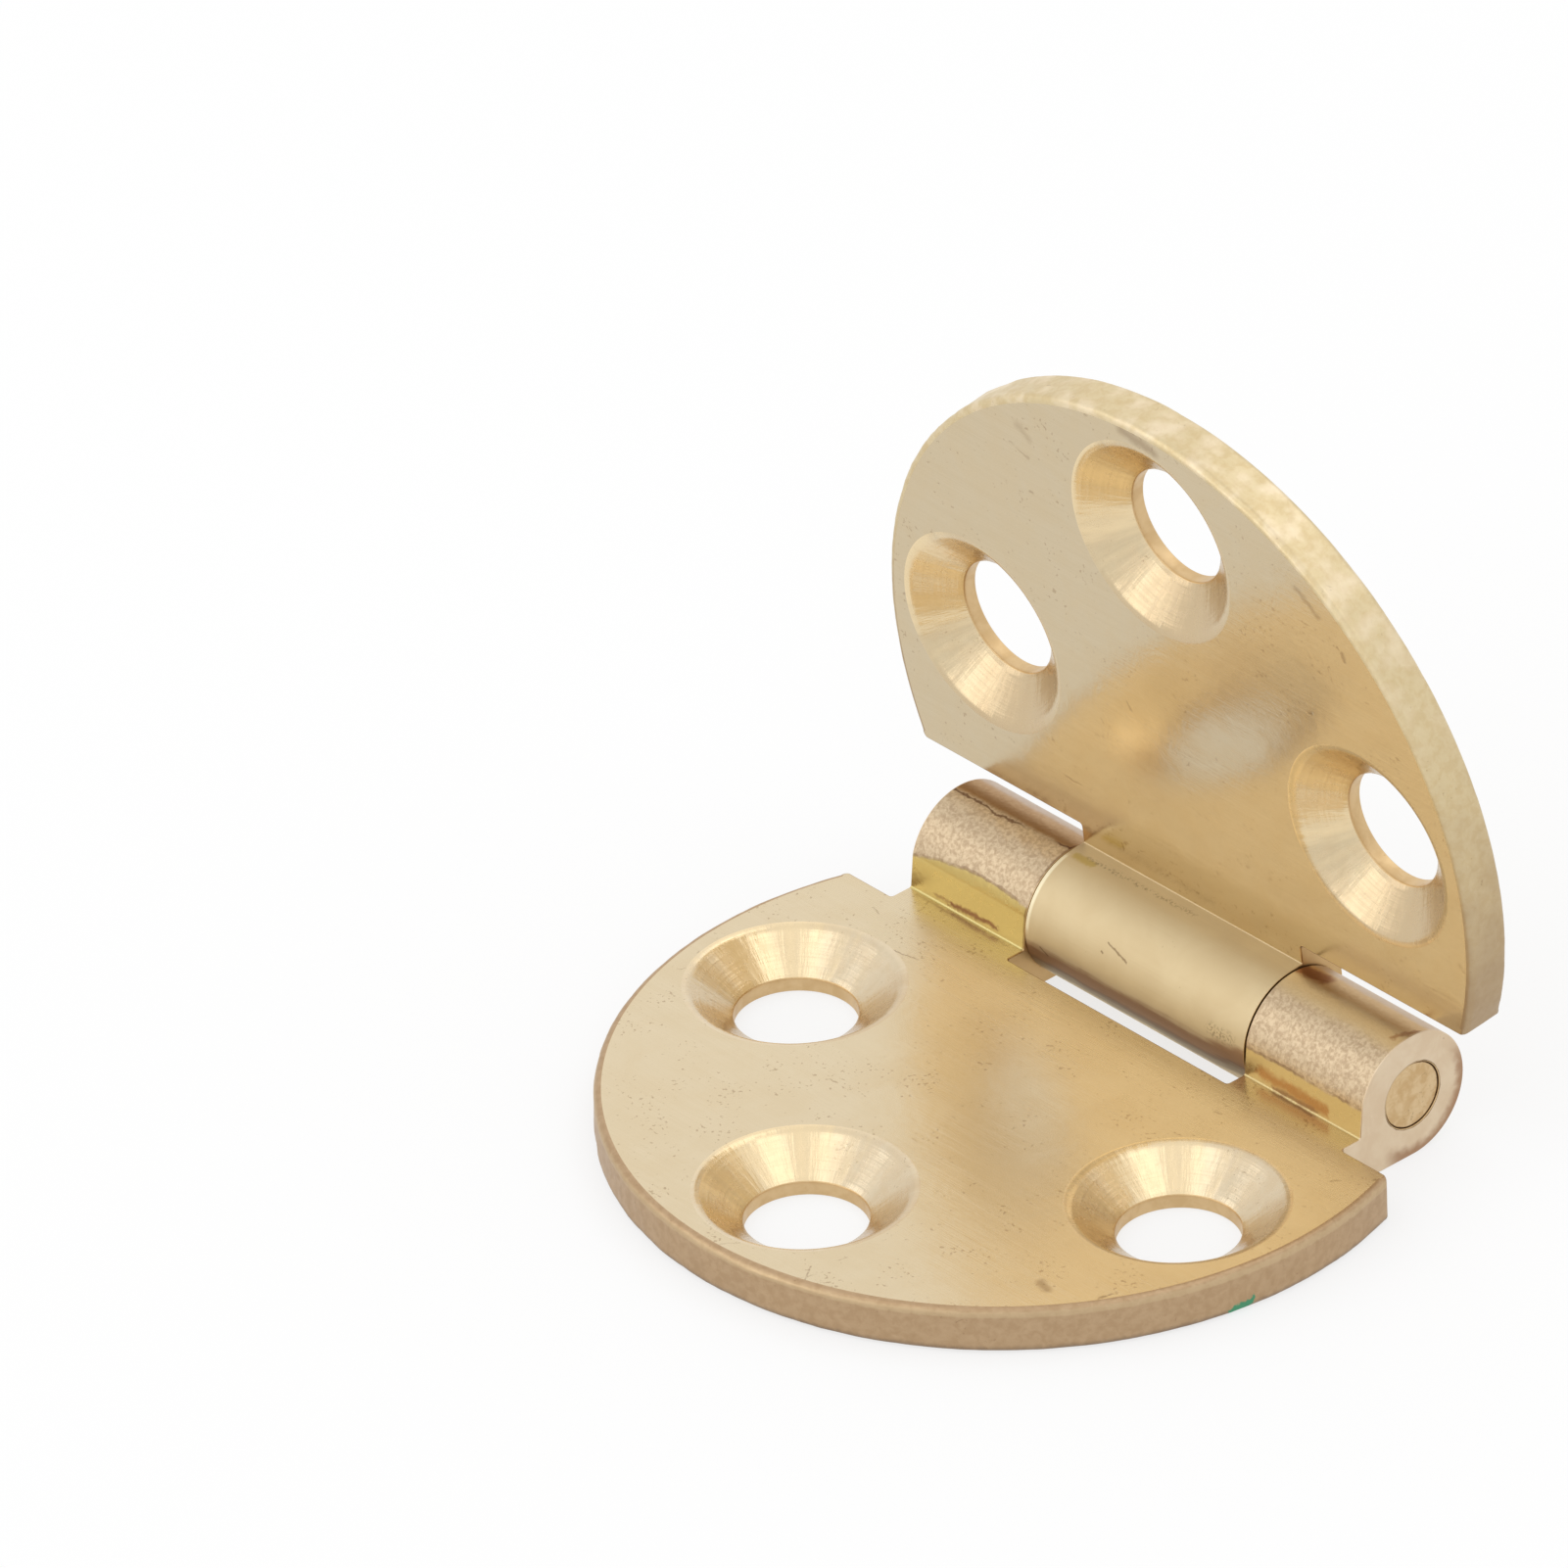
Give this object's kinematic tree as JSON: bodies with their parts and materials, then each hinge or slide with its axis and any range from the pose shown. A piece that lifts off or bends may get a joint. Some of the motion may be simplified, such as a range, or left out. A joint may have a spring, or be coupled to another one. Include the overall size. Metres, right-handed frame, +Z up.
{
  "type": "drop leaf table hinge",
  "caption": "Round solid brass flap hinge with two D-shaped leaves, countersunk screw holes and a plain pin, for a drop leaf or folding table top.",
  "frame": {"origin": "centre of the lower leaf's round outline, on the flat underside that sits in the recess", "axes": "+X along the hinge pin, +Y from the lower leaf towards the pin, +Z up out of the recess; the pin's axis is at y = 8.4 mm, z = 2.5 mm"},
  "size_m": [0.03, 0.0259, 0.026],
  "materials": {
    "leaf_brass": "satin, finely brushed along the pin",
    "pin_brass": "dull, cut off flush"
  },
  "bodies": {
    "lower": {"lower_leaf": "leaf_brass", "hinge_pin": "pin_brass"},
    "upper": {"upper_leaf": "leaf_brass"}
  },
  "joints": [
    {"name": "leaf_fold", "type": "hinge", "parent": "lower", "child": "upper", "pos_m": [0, 0.0084, 0.0025], "axis": [1, 0, 0], "range_deg": [-95.5, 84.5]}
  ]
}
